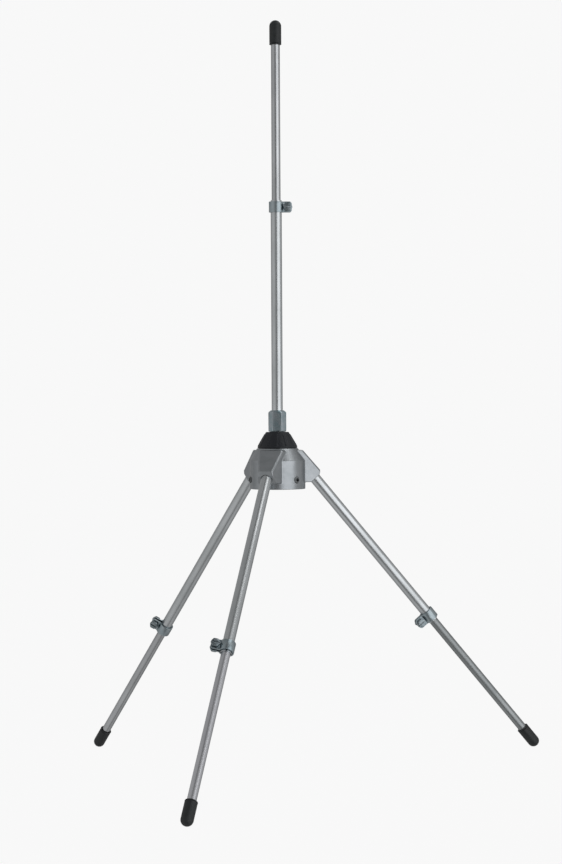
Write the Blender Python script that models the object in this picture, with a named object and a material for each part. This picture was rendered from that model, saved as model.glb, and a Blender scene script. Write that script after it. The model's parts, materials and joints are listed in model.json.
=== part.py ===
"""Ground-plane antenna: a cast mast hub, a telescopic radiator on a black insulator cone, and
three telescopic radials that droop from the hub's fins.

The origin is the centre of the hub's lower rim, on the mast axis, and +Z points up. The front
radial points along -Y. Lengths along a tube are measured on its own axis: from the origin for
the radiator, and from the point where the three radials' axes meet for a radial.
"""

from math import asin, cos, pi, radians, sin, sqrt, tan

import bmesh
import bpy
from mathutils import Matrix, Vector

MM = 0.001
GAP = 0.3 * MM  # between pieces that touch
ROUND = 24  # sides of tubes, caps and screws
HUB_ROUND = 40  # sides of the hub and of the cone on it

# Hub casting
HUB_RADIUS = 25.0 * MM
HUB_SHOULDER_Z = 25.5 * MM
HUB_TOP_Z = 36.6 * MM
HUB_TOP_RADIUS = 18.4 * MM
SOCKET_RADIUS = 19.7 * MM  # takes a 38 mm mast
PLATE_LOW_Z = 29.0 * MM
PLATE_HIGH_Z = 33.0 * MM
RECESS_RADIUS = 16.0 * MM

# Radials: their axes meet on the mast axis and droop from there
RADIAL_DROOP = radians(49.9)
APEX_Z = 50.5 * MM
RADIAL_AZIMUTHS = {"front": radians(270), "left": radians(150), "right": radians(30)}
RADIAL_ROOT = 43.6 * MM
ROOT_STUD_RADIUS = 2.9 * MM
ROOT_STUD_LENGTH = 7.6 * MM
ROOT_PLUG_LENGTH = 15.0 * MM
RADIAL_CLAMPS = {"front": 232.0 * MM, "left": 245.5 * MM, "right": 220.0 * MM}
RADIAL_TIPS = {"front": 401.0 * MM, "left": 407.0 * MM, "right": 382.0 * MM}
RADIAL_EAR_TURNS = {"front": radians(70), "left": radians(-40), "right": radians(180)}

# Fins that hold the radials
FIN_TOP_SLOPE = radians(46.5)  # a little flatter than the tube
FIN_TOP_OFFSET = 7.6 * MM  # from the tube's axis to the outer end of the fin's top
FIN_LEVEL_Z = 35.0 * MM  # of the fin's top beside the hub's rim
FIN_INNER_END = 11.0 * MM
FIN_NOSE_RADIUS = 38.4 * MM
FIN_NOSE_HEIGHT = 4.1 * MM
FIN_NOSE_UNDERCUT = 0.9 * MM
FIN_BOTTOM_Z = 5.9 * MM
FIN_HALF_WIDTH = 10.2 * MM  # where it leaves the hub
FIN_NOSE_HALF_WIDTH = 6.5 * MM
FIN_TOP_CHAMFER = 1.2 * MM
FIN_EDGE = 0.6 * MM

# Telescopic tubes, the same for the radiator and the radials
TUBE_RADIUS = 5.0 * MM
TUBE_BORE = 4.15 * MM
INNER_RADIUS = 4.0 * MM
INNER_BORE = 3.0 * MM
INNER_LENGTH = 185.0 * MM
SLOT_WIDTH = 1.2 * MM
SLOT_LENGTH = 10.4 * MM
TUBE_PROUD = 1.2 * MM  # of the tube's slotted end past its clamp
CAP_RADIUS = 5.5 * MM
CAP_LENGTH = 22.0 * MM
CAP_TOP = 2.3 * MM

# Clamp bands and their M4 screws
BAND_WIDTH = 9.6 * MM
BAND_WALL = 1.3 * MM
EAR_GAP = 2.5 * MM
EAR_REACH = 14.1 * MM
EAR_CORNER = 2.2 * MM
CLAMP_SCREW_REACH = 10.6 * MM
M4_RADIUS = 2.0 * MM
M4_HEX = 7.0 * MM
M4_HEAD = 2.8 * MM
M4_NUT = 3.2 * MM

# Radiator, insulator and the pieces between them
RADIATOR_ROOT = 60.3 * MM
RADIATOR_CLAMP = 253.5 * MM
RADIATOR_TIP = 421.0 * MM
RADIATOR_EAR_TURN = radians(17)
CONE_TOP_Z = 51.2 * MM
CONE_TOP_RADIUS = 10.6 * MM
CONE_LOW_RADIUS = 18.0 * MM
CONE_RIBS = 12
CONE_RIB_HEIGHT = 0.5 * MM
HUB_SEAL_RADIUS = 16.8 * MM
FERRULE_SEAL_RADIUS = 6.6 * MM
SEAL_THICKNESS = 1.0 * MM
SEAL_PROUD = 0.2 * MM  # out of its groove
FERRULE_HEX = 14.0 * MM
FERRULE_TOP_Z = 70.7 * MM
FERRULE_TURN = radians(13)
STUD_RADIUS = 4.0 * MM
STUD_TOP_Z = 59.5 * MM
STUD_HEAD_Z = 39.6 * MM
STUD_HEAD_HEIGHT = 5.0 * MM
STUD_HEAD_HEX = 13.0 * MM
WASHER_RADIUS = 7.6 * MM
WASHER_HEIGHT = 1.0 * MM

# Coaxial socket and its screws, inside the mast socket
FLANGE_RADIUS = 14.5 * MM
FLANGE_HEIGHT = 2.0 * MM
BARREL_RADIUS = 7.95 * MM
BARREL_BORE = 5.9 * MM
BARREL_LOW_Z = 12.0 * MM
FLANGE_SCREW_CIRCLE = 10.6 * MM
FLANGE_SCREW_RADIUS = 1.25 * MM
FLANGE_SCREW_HEAD_RADIUS = 2.25 * MM
FLANGE_SCREW_HEAD = 2.4 * MM
FLANGE_SCREW_TOP_Z = 42.0 * MM

# Mast screws, between the fins
MAST_SCREW_Z = 8.5 * MM
MAST_SCREW_RADIUS = 2.9 * MM
MAST_SCREW_TIP = 21.3 * MM  # from the mast axis
MAST_SCREW_LENGTH = 4.7 * MM
MAST_SCREW_AZIMUTHS = (radians(330), radians(210), radians(90))

# Colour, metallic and roughness of each finish
FINISHES = {
    "cast_alloy": ((0.42, 0.43, 0.45), 0.8, 0.45),
    "tube_aluminium": ((0.66, 0.67, 0.68), 1.0, 0.28),
    "zinc_steel": ((0.42, 0.48, 0.50), 1.0, 0.35),
    "black_steel": ((0.12, 0.125, 0.13), 1.0, 0.4),
    "nickel_brass": ((0.62, 0.60, 0.55), 1.0, 0.3),
    "black_plastic": ((0.02, 0.021, 0.024), 0.0, 0.5),
    "black_rubber": ((0.015, 0.015, 0.016), 0.0, 0.7),
    "white_dielectric": ((0.85, 0.85, 0.83), 0.0, 0.4),
}


def clear_scene():
    for item in list(bpy.data.objects):
        bpy.data.objects.remove(item)


def finish(name):
    """The material of that name, made on first use."""
    material = bpy.data.materials.get(name)
    if material is None:
        colour, metallic, roughness = FINISHES[name]
        material = bpy.data.materials.new(name)
        material.use_nodes = True
        shader = material.node_tree.nodes["Principled BSDF"]
        shader.inputs["Base Color"].default_value = (*colour, 1.0)
        shader.inputs["Metallic"].default_value = metallic
        shader.inputs["Roughness"].default_value = roughness
        material.diffuse_color = (*colour, 1.0)
    return material


def as_object(bm, name):
    """An object around a bmesh, with its faces pointing out."""
    bmesh.ops.recalc_face_normals(bm, faces=bm.faces)
    mesh = bpy.data.meshes.new(name)
    bm.to_mesh(mesh)
    bm.free()
    item = bpy.data.objects.new(name, mesh)
    bpy.context.scene.collection.objects.link(item)
    return item


def turned(name, profile, sides=ROUND, ring=False):
    """A solid turned about Z from (radius, height) points, which close on themselves in a ring."""
    bm = bmesh.new()
    points = [bm.verts.new((radius, 0, height)) for radius, height in profile]
    ends = points[1:] + points[:1] if ring else points[1:]
    edges = [bm.edges.new(pair) for pair in zip(points, ends)]
    bmesh.ops.spin(
        bm,
        geom=points + edges,
        axis=(0, 0, 1),
        cent=(0, 0, 0),
        angle=2 * pi,
        steps=sides,
        use_merge=True,
    )
    bmesh.ops.remove_doubles(bm, verts=bm.verts, dist=1e-7)
    return as_object(bm, name)


def prism(name, outline, low, high):
    """A flat outline in the XY plane, extruded from one height to another."""
    bm = bmesh.new()
    face = bm.faces.new([bm.verts.new((x, y, low)) for x, y in outline])
    grown = bmesh.ops.extrude_face_region(bm, geom=[face])["geom"]
    rise = [part for part in grown if isinstance(part, bmesh.types.BMVert)]
    bmesh.ops.translate(bm, verts=rise, vec=(0, 0, high - low))
    return as_object(bm, name)


def cylinder(name, radius, low, high, sides=ROUND):
    return turned(name, [(0, low), (radius, low), (radius, high), (0, high)], sides)


def hexagon(name, across_flats, low, high):
    corner = across_flats / sqrt(3)
    outline = [(corner * cos(i * pi / 3), corner * sin(i * pi / 3)) for i in range(6)]
    return prism(name, outline, low, high)


def box(name, length, width, low, high):
    x, y = length / 2, width / 2
    return prism(name, [(-x, -y), (x, -y), (x, y), (-x, y)], low, high)


def arc(radius, start, end, steps):
    """Points of an arc about the origin, both ends included."""
    angles = [start + (end - start) * i / steps for i in range(steps + 1)]
    return [(radius * cos(angle), radius * sin(angle)) for angle in angles]


def combine(body, tool, operation):
    """Cuts the tool from the body, joins it on or keeps what they share, and removes the tool."""
    modifier = body.modifiers.new("combine", "BOOLEAN")
    modifier.operation = operation
    modifier.solver = "EXACT"
    modifier.object = tool
    bpy.context.view_layer.update()
    evaluated = body.evaluated_get(bpy.context.evaluated_depsgraph_get())
    mesh = bpy.data.meshes.new_from_object(evaluated)
    body.modifiers.clear()
    body.data = mesh
    bpy.data.objects.remove(tool)
    return body


def softened(body, width):
    """Chamfers a body's hard edges."""
    bm = bmesh.new()
    bm.from_mesh(body.data)
    hard = [edge for edge in bm.edges if edge.calc_face_angle(0) > radians(20)]
    bmesh.ops.bevel(bm, geom=hard, offset=width, segments=1, affect="EDGES")
    bm.to_mesh(body.data)
    bm.free()
    return body


def set_down(body, material, parent=None, place=Matrix()):
    """Gives a finished piece its material, its shading and its place in its parent."""
    body.data.materials.clear()
    body.data.materials.append(finish(material))
    body.data.shade_smooth()
    body.data.set_sharp_from_angle(angle=radians(32))
    body.parent = parent
    body.matrix_local = place
    return body


def stand(name, place):
    """An empty that a group of pieces is parented to."""
    item = bpy.data.objects.new(name, None)
    bpy.context.scene.collection.objects.link(item)
    item.empty_display_size = 0.02
    item.matrix_world = place
    return item


def radial_place(azimuth):
    """Z along the radial, away from the hub, and X up out of it, from the apex of the radials."""
    outward = Vector((cos(azimuth), sin(azimuth), 0))
    up = Vector((0, 0, 1))
    along = outward * cos(RADIAL_DROOP) - up * sin(RADIAL_DROOP)
    over = outward * sin(RADIAL_DROOP) + up * cos(RADIAL_DROOP)
    side = along.cross(over)
    turn = Matrix((over, side, along)).transposed().to_4x4()
    return Matrix.Translation((0, 0, APEX_Z)) @ turn


def fin(azimuth):
    """A wedge with a sloping top, a steep nose and an end face square to its radial's tube."""
    slope = tan(RADIAL_DROOP)
    nose_z = APEX_Z + FIN_TOP_OFFSET / cos(RADIAL_DROOP) - slope * FIN_NOSE_RADIUS
    level_end = FIN_NOSE_RADIUS - (FIN_LEVEL_Z - nose_z) / tan(FIN_TOP_SLOPE)
    brow = FIN_NOSE_RADIUS - FIN_NOSE_UNDERCUT
    brow_z = nose_z - FIN_NOSE_HEIGHT
    outline = [
        (FIN_INNER_END, FIN_BOTTOM_Z),
        (brow - (brow_z - FIN_BOTTOM_Z) * slope, FIN_BOTTOM_Z),
        (brow, brow_z),
        (FIN_NOSE_RADIUS, nose_z),
        (level_end, FIN_LEVEL_Z),
        (FIN_INNER_END, FIN_LEVEL_Z),
    ]
    body = prism("fin", outline, -1, 1)
    taper = (FIN_NOSE_HALF_WIDTH - FIN_HALF_WIDTH) / (FIN_NOSE_RADIUS - HUB_RADIUS)
    for vertex in body.data.vertices:
        reach, height, side = vertex.co
        half = FIN_HALF_WIDTH + taper * (reach - HUB_RADIUS)
        vertex.co = (reach, -side * half, height)
    chamfer_top(body, nose_z)
    softened(body, FIN_EDGE)
    body.matrix_world = Matrix.Rotation(azimuth, 4, "Z")
    return body


def chamfer_top(body, nose_z):
    """Chamfers the two long edges of a fin's top, from its nose to its inner end."""
    bm = bmesh.new()
    bm.from_mesh(body.data)
    long_edges = []
    for edge in bm.edges:
        one, other = (vertex.co for vertex in edge.verts)
        if min(one.z, other.z) > nose_z - 0.1 * MM and one.y * other.y > 0:
            long_edges.append(edge)
    bmesh.ops.bevel(bm, geom=long_edges, offset=FIN_TOP_CHAMFER, segments=1, affect="EDGES")
    bm.to_mesh(body.data)
    bm.free()


def radial_bore(azimuth):
    """A cutter for a radial's tube and the stud of its root plug."""
    floor = RADIAL_ROOT - ROOT_STUD_LENGTH - GAP
    seat = RADIAL_ROOT - GAP
    clear = RADIAL_ROOT + 40 * MM
    bore = turned("bore", [
        (0, floor),
        (ROOT_STUD_RADIUS + GAP, floor),
        (ROOT_STUD_RADIUS + GAP, seat),
        (TUBE_RADIUS + GAP, seat),
        (TUBE_RADIUS + GAP, clear),
        (0, clear),
    ])
    bore.matrix_world = radial_place(azimuth)
    return bore


def hub_casting():
    """The casting: fins on a round body, hollowed for the mast, the socket and the cone."""
    edge = 0.5 * MM
    hub = turned("hub_casting", [
        (0, 0),
        (HUB_RADIUS - edge, 0),
        (HUB_RADIUS, edge),
        (HUB_RADIUS, HUB_SHOULDER_Z),
        (HUB_TOP_RADIUS, HUB_TOP_Z),
        (0, HUB_TOP_Z),
    ], HUB_ROUND)
    for azimuth in RADIAL_AZIMUTHS.values():
        combine(hub, fin(azimuth), "UNION")
    past = 5 * MM
    combine(hub, turned("hollow", [
        (0, -past),
        (SOCKET_RADIUS + edge + past, -past),
        (SOCKET_RADIUS, edge),
        (SOCKET_RADIUS, PLATE_LOW_Z),
        (BARREL_RADIUS + GAP, PLATE_LOW_Z),
        (BARREL_RADIUS + GAP, PLATE_HIGH_Z),
        (RECESS_RADIUS, PLATE_HIGH_Z),
        (RECESS_RADIUS, HUB_TOP_Z + past),
        (0, HUB_TOP_Z + past),
    ], HUB_ROUND), "DIFFERENCE")
    for azimuth in RADIAL_AZIMUTHS.values():
        combine(hub, radial_bore(azimuth), "DIFFERENCE")
    for azimuth in MAST_SCREW_AZIMUTHS:
        hole = cylinder("hole", MAST_SCREW_RADIUS + GAP, 15 * MM, 30 * MM)
        hole.matrix_world = mast_screw_place(azimuth)
        combine(hub, hole, "DIFFERENCE")
    for place in flange_screw_places():
        hole = cylinder("hole", FLANGE_SCREW_RADIUS + GAP, 20 * MM, 40 * MM, 16)
        hole.matrix_world = place
        combine(hub, hole, "DIFFERENCE")
    return set_down(hub, "cast_alloy")


def mast_screw_place(azimuth):
    """Z points out of the hub along the screw's axis."""
    turn = Matrix.Rotation(azimuth, 4, "Z") @ Matrix.Rotation(pi / 2, 4, "Y")
    return Matrix.Translation((0, 0, MAST_SCREW_Z)) @ turn


def mast_screws():
    """Socket set screws that clamp the mast."""
    head = MAST_SCREW_TIP + MAST_SCREW_LENGTH
    edge = 0.5 * MM
    for number, azimuth in enumerate(MAST_SCREW_AZIMUTHS, 1):
        screw = turned(f"mast_screw_{number}", [
            (0, MAST_SCREW_TIP),
            (MAST_SCREW_RADIUS - 2 * edge, MAST_SCREW_TIP),
            (MAST_SCREW_RADIUS, MAST_SCREW_TIP + edge),
            (MAST_SCREW_RADIUS, head - edge),
            (MAST_SCREW_RADIUS - edge, head),
            (0, head),
        ])
        key = hexagon("key", 3.0 * MM, head - 2.4 * MM, head + 1 * MM)
        combine(screw, key, "DIFFERENCE")
        set_down(screw, "black_steel", place=mast_screw_place(azimuth))


def flange_screw_places():
    for quarter in range(4):
        angle = radians(45 + 90 * quarter)
        spot = Vector((cos(angle), sin(angle), 0)) * FLANGE_SCREW_CIRCLE
        yield Matrix.Translation(spot)


def flange_screws():
    """Slotted screws that hold the coaxial socket and the cone to the hub from below."""
    seat = PLATE_LOW_Z - GAP
    low = seat - FLANGE_SCREW_HEAD
    for number, place in enumerate(flange_screw_places(), 1):
        screw = turned(f"flange_screw_{number}", [
            (0, low),
            (FLANGE_SCREW_HEAD_RADIUS, low),
            (FLANGE_SCREW_HEAD_RADIUS, seat),
            (FLANGE_SCREW_RADIUS, seat),
            (FLANGE_SCREW_RADIUS, FLANGE_SCREW_TOP_Z),
            (0, FLANGE_SCREW_TOP_Z),
        ], 16)
        slot = box("slot", 8 * MM, 0.7 * MM, low - 1 * MM, low + 1 * MM)
        combine(screw, slot, "DIFFERENCE")
        set_down(screw, "zinc_steel", place=place)


def coax_socket():
    """The female coaxial connector: a threaded barrel with a round flange, and its insides."""
    flange_low = PLATE_HIGH_Z + GAP
    flange_high = flange_low + FLANGE_HEIGHT
    web = flange_low - 3.0 * MM
    neck = 3.3 * MM
    edge = 0.6 * MM
    body = turned("coax_socket_body", [
        (BARREL_BORE, BARREL_LOW_Z),
        (BARREL_RADIUS - edge, BARREL_LOW_Z),
        (BARREL_RADIUS, BARREL_LOW_Z + edge),
        (BARREL_RADIUS, flange_low),
        (FLANGE_RADIUS, flange_low),
        (FLANGE_RADIUS, flange_high),
        (neck, flange_high),
        (neck, web),
        (BARREL_BORE, web),
    ], ROUND, ring=True)
    for place in flange_screw_places():
        hole = cylinder("hole", FLANGE_SCREW_RADIUS + GAP, 20 * MM, 50 * MM, 16)
        hole.matrix_world = place
        combine(body, hole, "DIFFERENCE")
    set_down(body, "nickel_brass")

    contact_low = BARREL_LOW_Z + 2.4 * MM
    contact_top = STUD_HEAD_Z + 2.8 * MM
    shoulder = web - 2.5 * MM
    pin = 1.1 * MM
    jaw = 2.8 * MM
    jaw_bore = 2.0 * MM
    set_down(turned("coax_centre_contact", [
        (0, shoulder - 3 * MM),
        (jaw_bore, shoulder - 3 * MM),
        (jaw_bore, contact_low),
        (jaw, contact_low),
        (jaw, shoulder),
        (pin, shoulder),
        (pin, contact_top),
        (0, contact_top),
    ]), "nickel_brass")

    core_low = contact_low + 0.6 * MM
    set_down(turned("coax_dielectric", [
        (jaw + GAP, core_low),
        (BARREL_BORE - GAP, core_low),
        (BARREL_BORE - GAP, web - GAP),
        (neck - GAP, web - GAP),
        (neck - GAP, flange_high + 1.5 * MM),
        (pin + GAP, flange_high + 1.5 * MM),
        (pin + GAP, shoulder + GAP),
        (jaw + GAP, shoulder + GAP),
    ], ring=True), "white_dielectric")


def insulator_cone():
    """A ribbed cone on a spigot that sits in the hub's recess, around the feed stud."""
    spigot_low = PLATE_HIGH_Z + FLANGE_HEIGHT + 2 * GAP
    seat = HUB_TOP_Z + GAP
    spigot = RECESS_RADIUS - GAP
    lip = 0.8 * MM
    cone = turned("insulator_cone", [
        (0, spigot_low),
        (spigot, spigot_low),
        (spigot, seat),
        (CONE_LOW_RADIUS, seat),
        (CONE_LOW_RADIUS, seat + lip),
        (CONE_TOP_RADIUS, CONE_TOP_Z - lip),
        (CONE_TOP_RADIUS - lip, CONE_TOP_Z),
        (0, CONE_TOP_Z),
    ], HUB_ROUND)
    lean = (CONE_LOW_RADIUS - CONE_TOP_RADIUS) / (CONE_TOP_Z - seat - 2 * lip)
    for rib in range(CONE_RIBS):
        low = seat + 2 * lip
        high = CONE_TOP_Z - 2 * lip
        face = CONE_LOW_RADIUS + CONE_RIB_HEIGHT + lean * (seat + lip)
        outline = [
            (4 * MM, low),
            (face - lean * low, low),
            (face - lean * high, high),
            (4 * MM, high),
        ]
        ridge = prism("ridge", outline, -0.7 * MM, 0.7 * MM)
        turn = Matrix.Rotation((rib + 0.5) * 2 * pi / CONE_RIBS, 4, "Z")
        ridge.matrix_world = turn @ Matrix.Rotation(pi / 2, 4, "X")
        combine(cone, ridge, "UNION")
    head_room = WASHER_RADIUS + GAP
    ceiling = STUD_HEAD_Z + STUD_HEAD_HEIGHT + WASHER_HEIGHT + 2 * GAP
    combine(cone, turned("hollow", [
        (0, spigot_low - 1 * MM),
        (head_room, spigot_low - 1 * MM),
        (head_room, ceiling),
        (STUD_RADIUS + GAP, ceiling),
        (STUD_RADIUS + GAP, CONE_TOP_Z + 1 * MM),
        (0, CONE_TOP_Z + 1 * MM),
    ]), "DIFFERENCE")
    combine(cone, seal_groove(HUB_SEAL_RADIUS, seat), "DIFFERENCE")
    combine(cone, seal_groove(FERRULE_SEAL_RADIUS, CONE_TOP_Z), "DIFFERENCE")
    for place in flange_screw_places():
        hole = cylinder("hole", FLANGE_SCREW_RADIUS + GAP, 30 * MM, FLANGE_SCREW_TOP_Z + GAP, 16)
        hole.matrix_world = place
        combine(cone, hole, "DIFFERENCE")
    return set_down(cone, "black_plastic")


def seal_groove(radius, face):
    """A cutter for a ring's groove on both sides of a level face."""
    half = SEAL_THICKNESS / 2 + GAP / 2
    depth = SEAL_THICKNESS
    return turned("seal_groove", [
        (radius - half, face - depth),
        (radius + half, face - depth),
        (radius + half, face + depth),
        (radius - half, face + depth),
    ], ring=True)


def seal_ring(name, radius, height):
    """A rubber ring of round section."""
    section = arc(SEAL_THICKNESS / 2, 0, 2 * pi, 6)[:-1]
    profile = [(radius + across, height + up) for across, up in section]
    return set_down(turned(name, profile, ring=True), "black_rubber")


def feed_stud():
    """A hexagon-headed stud, drilled below for the contact's pin, and the washer on its head."""
    head_top = STUD_HEAD_Z + STUD_HEAD_HEIGHT
    stud = hexagon("feed_stud", STUD_HEAD_HEX, STUD_HEAD_Z, head_top)
    shank = cylinder("shank", STUD_RADIUS, head_top - 1 * MM, STUD_TOP_Z)
    combine(stud, shank, "UNION")
    drilling = cylinder("drilling", 1.4 * MM, STUD_HEAD_Z - 1 * MM, STUD_HEAD_Z + 3.2 * MM, 16)
    combine(stud, drilling, "DIFFERENCE")
    set_down(stud, "nickel_brass")
    low = head_top + GAP
    set_down(turned("stud_washer", [
        (STUD_RADIUS + GAP, low),
        (WASHER_RADIUS, low),
        (WASHER_RADIUS, low + WASHER_HEIGHT),
        (STUD_RADIUS + GAP, low + WASHER_HEIGHT),
    ], ring=True), "zinc_steel")


def radiator_ferrule():
    """The hexagon that screws onto the stud and holds the radiator's tube."""
    low = CONE_TOP_Z + GAP
    corner = FERRULE_HEX / sqrt(3)
    ferrule = hexagon("radiator_ferrule", FERRULE_HEX, low, FERRULE_TOP_Z)
    ferrule.matrix_world = Matrix.Rotation(FERRULE_TURN, 4, "Z")
    combine(ferrule, turned("chamfers", [
        (0, low - 1 * MM),
        (corner - 0.8 * MM, low - 1 * MM),
        (corner - 0.8 * MM, low),
        (corner + 0.2 * MM, low + 0.6 * MM),
        (corner + 0.2 * MM, FERRULE_TOP_Z - 3.2 * MM),
        (TUBE_RADIUS + 0.9 * MM, FERRULE_TOP_Z),
        (TUBE_RADIUS + 0.9 * MM, FERRULE_TOP_Z + 1 * MM),
        (0, FERRULE_TOP_Z + 1 * MM),
    ], 48), "INTERSECT")
    combine(ferrule, turned("bores", [
        (0, low - 2 * MM),
        (STUD_RADIUS + GAP, low - 2 * MM),
        (STUD_RADIUS + GAP, RADIATOR_ROOT - GAP),
        (TUBE_RADIUS + GAP, RADIATOR_ROOT - GAP),
        (TUBE_RADIUS + GAP, FERRULE_TOP_Z + 2 * MM),
        (0, FERRULE_TOP_Z + 2 * MM),
    ]), "DIFFERENCE")
    return set_down(ferrule, "zinc_steel", place=Matrix.Rotation(FERRULE_TURN, 4, "Z"))


def outer_tube(name, frame, root, clamp, ear_turn):
    """The fixed tube, with crossed slots in its end for the clamp to squeeze shut."""
    end = clamp + BAND_WIDTH / 2 + TUBE_PROUD
    tube = turned(name, [
        (TUBE_BORE, root),
        (TUBE_RADIUS, root),
        (TUBE_RADIUS, end),
        (TUBE_BORE, end),
    ], ring=True)
    for cross in (0, pi / 2):
        slot = box("slot", 20 * MM, SLOT_WIDTH, end - SLOT_LENGTH, end + 2 * MM)
        slot.matrix_world = Matrix.Rotation(ear_turn + cross, 4, "Z")
        combine(tube, slot, "DIFFERENCE")
    return set_down(tube, "tube_aluminium", frame)


def clamp(prefix, frame, height, ear_turn):
    """A bent band with two ears along X, and the screw and nut that pull them together."""
    place = Matrix.Translation((0, 0, height)) @ Matrix.Rotation(ear_turn, 4, "Z")
    inner = TUBE_RADIUS + GAP
    outer = inner + BAND_WALL
    near = EAR_GAP / 2
    far = near + BAND_WALL
    mouth = asin(near / inner)
    heel = asin(far / outer)
    outline = [(EAR_REACH, near)]
    outline += arc(inner, mouth, 2 * pi - mouth, 18)
    outline += [(EAR_REACH, -near), (EAR_REACH, -far)]
    outline += arc(outer, 2 * pi - heel, heel, 18)
    outline += [(EAR_REACH, far)]
    band = prism(f"{prefix}_clamp_band", outline, -BAND_WIDTH / 2, BAND_WIDTH / 2)
    round_ears(band)
    hole = cylinder("hole", M4_RADIUS + GAP, -10 * MM, 10 * MM)
    hole.matrix_world = clamp_screw_turn()
    combine(band, hole, "DIFFERENCE")
    set_down(band, "zinc_steel", frame, place)

    seat = far + GAP
    thread_end = -(far + 2 * GAP + M4_NUT + 1.6 * MM)
    head = hexagon(f"{prefix}_clamp_screw", M4_HEX, seat, seat + M4_HEAD)
    combine(head, cylinder("shank", M4_RADIUS, thread_end, seat + 1 * MM), "UNION")
    top = seat + M4_HEAD
    combine(head, box("slot", 12 * MM, 1.0 * MM, top - 1.1 * MM, top + 1 * MM), "DIFFERENCE")
    set_down(head, "zinc_steel", frame, place @ clamp_screw_turn())

    nut = hexagon(f"{prefix}_clamp_nut", M4_HEX, -seat - M4_NUT, -seat)
    bore = cylinder("bore", M4_RADIUS + GAP, -20 * MM, 20 * MM)
    combine(nut, bore, "DIFFERENCE")
    set_down(nut, "zinc_steel", frame, place @ clamp_screw_turn())


def clamp_screw_turn():
    """From the band's frame to the screw's: Z along the screw, towards its head at -Y."""
    return Matrix.Translation((CLAMP_SCREW_REACH, 0, 0)) @ Matrix.Rotation(pi / 2, 4, "X")


def round_ears(band):
    """Rounds the free corners of a band's ears."""
    bm = bmesh.new()
    bm.from_mesh(band.data)
    corners = []
    for edge in bm.edges:
        low, high = (vertex.co for vertex in edge.verts)
        across = abs(low.y - high.y) > BAND_WALL / 2
        if across and min(low.x, high.x) > EAR_REACH - 0.1 * MM and low.y * high.y > 0:
            corners.append(edge)
    bmesh.ops.bevel(
        bm, geom=corners, offset=EAR_CORNER, segments=3, profile=0.5, affect="EDGES"
    )
    bm.to_mesh(band.data)
    bm.free()


def inner_tube(prefix, frame, tip):
    """The sliding tube and the domed cap on its end."""
    cap_low = tip - CAP_LENGTH
    end = tip - CAP_TOP - GAP
    set_down(turned(f"{prefix}_inner_tube", [
        (INNER_BORE, end - INNER_LENGTH),
        (INNER_RADIUS, end - INNER_LENGTH),
        (INNER_RADIUS, end),
        (INNER_BORE, end),
    ], ring=True), "tube_aluminium", frame)

    edge = 0.6 * MM
    bore = INNER_RADIUS + GAP
    dome = [(CAP_RADIUS * x, tip - CAP_RADIUS * (1 - y)) for x, y in arc(1, 0, pi / 2, 5)]
    dome[-1] = (0, tip)
    profile = [
        (0, tip - CAP_TOP),
        (bore, tip - CAP_TOP),
        (bore, cap_low),
        (CAP_RADIUS - edge, cap_low),
        (CAP_RADIUS, cap_low + edge),
    ]
    set_down(turned(f"{prefix}_tip_cap", profile + dome), "black_rubber", frame)


def telescope(prefix, frame, root, clamp_height, tip, ear_turn):
    outer_tube(f"{prefix}_outer_tube", frame, root, clamp_height, ear_turn)
    clamp(prefix, frame, clamp_height, ear_turn)
    inner_tube(prefix, frame, tip)


def radial(side):
    """One radial: the plug that screws it into its fin, and its telescopic tubes."""
    prefix = f"{side}_radial"
    frame = stand(f"{prefix}_axis", radial_place(RADIAL_AZIMUTHS[side]))
    plug = TUBE_BORE - GAP
    set_down(turned(f"{prefix}_root_plug", [
        (0, RADIAL_ROOT - ROOT_STUD_LENGTH),
        (ROOT_STUD_RADIUS, RADIAL_ROOT - ROOT_STUD_LENGTH),
        (ROOT_STUD_RADIUS, RADIAL_ROOT),
        (plug, RADIAL_ROOT),
        (plug, RADIAL_ROOT + ROOT_PLUG_LENGTH),
        (0, RADIAL_ROOT + ROOT_PLUG_LENGTH),
    ]), "zinc_steel", frame)
    clamp_height = RADIAL_CLAMPS[side]
    ear_turn = RADIAL_EAR_TURNS[side]
    telescope(prefix, frame, RADIAL_ROOT, clamp_height, RADIAL_TIPS[side], ear_turn)


def main():
    clear_scene()
    hub_casting()
    mast_screws()
    coax_socket()
    flange_screws()
    insulator_cone()
    sunk = SEAL_THICKNESS / 2 - SEAL_PROUD
    seal_ring("hub_seal_ring", HUB_SEAL_RADIUS, HUB_TOP_Z + GAP + sunk)
    seal_ring("ferrule_seal_ring", FERRULE_SEAL_RADIUS, CONE_TOP_Z - sunk)
    feed_stud()
    radiator_ferrule()
    radiator = stand("radiator_axis", Matrix())
    telescope(
        "radiator", radiator, RADIATOR_ROOT, RADIATOR_CLAMP, RADIATOR_TIP, RADIATOR_EAR_TURN
    )
    for side in RADIAL_AZIMUTHS:
        radial(side)
    bpy.context.view_layer.update()


main()
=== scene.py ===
"""Looks of the ground-plane antenna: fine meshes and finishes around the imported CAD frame.

Places and lengths are read from the frame. Lengths along a tube are measured on its own axis.
"""

import json
from math import asin, cos, hypot, pi, radians, sin, sqrt, tan

import bmesh
import bpy
from mathutils import Matrix, Vector

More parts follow.
